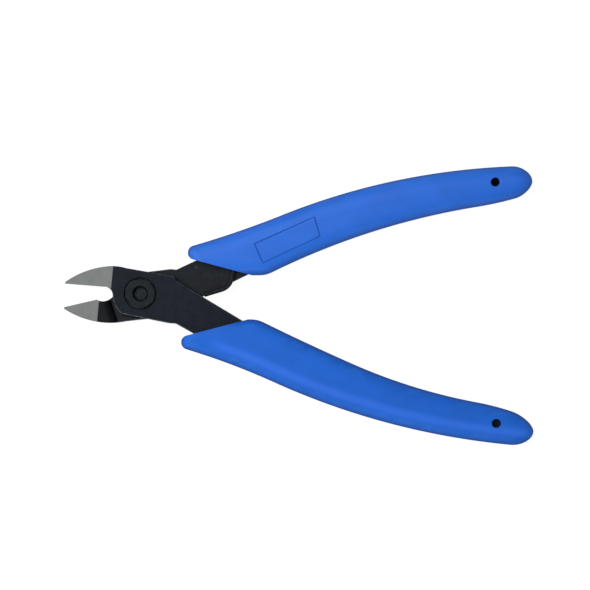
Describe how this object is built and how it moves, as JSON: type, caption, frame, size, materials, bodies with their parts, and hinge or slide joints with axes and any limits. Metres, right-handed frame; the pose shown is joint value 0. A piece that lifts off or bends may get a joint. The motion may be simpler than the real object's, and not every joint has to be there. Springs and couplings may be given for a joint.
{
  "type": "sprue nippers",
  "caption": "Flush-cutting hand nippers: lapped steel levers on a pivot screw, narrow pointed blades, return spring and long moulded grips.",
  "frame": {"origin": "middle of the tool's outline, on the flat surface that it lies on", "axes": "+X from the blade tips to the handle ends, +Z out of the flush side of the blades, up from the surface"},
  "size_m": [0.1492, 0.089, 0.0104],
  "materials": {
    "black_steel": "black oxide, satin; blades ground bright",
    "black_screw": "black oxide, satin",
    "washer_steel": "plain",
    "spring_steel": "dark drawn wire",
    "blue_rubber": "satin moulded"
  },
  "bodies": {
    "front_half": {"front_lever": "black_steel", "lower_grip": "blue_rubber"},
    "rear_half": {"rear_lever": "black_steel", "upper_grip": "blue_rubber", "pivot_screw": "black_screw", "thrust_washer": "washer_steel", "pivot_nut": "black_screw", "return_spring": "spring_steel", "spring_pin": "spring_steel"}
  },
  "joints": [
    {"name": "jaw_pivot", "type": "hinge", "parent": "front_half", "child": "rear_half", "pos_m": [-0.05037, 0.0039, 0.0052], "axis": [0, 0, -1], "range_deg": [0, 17.3], "stiffness_Nm_per_rad": 0.9, "springref_deg": -2.86, "deforming": ["return_spring"]}
  ]
}
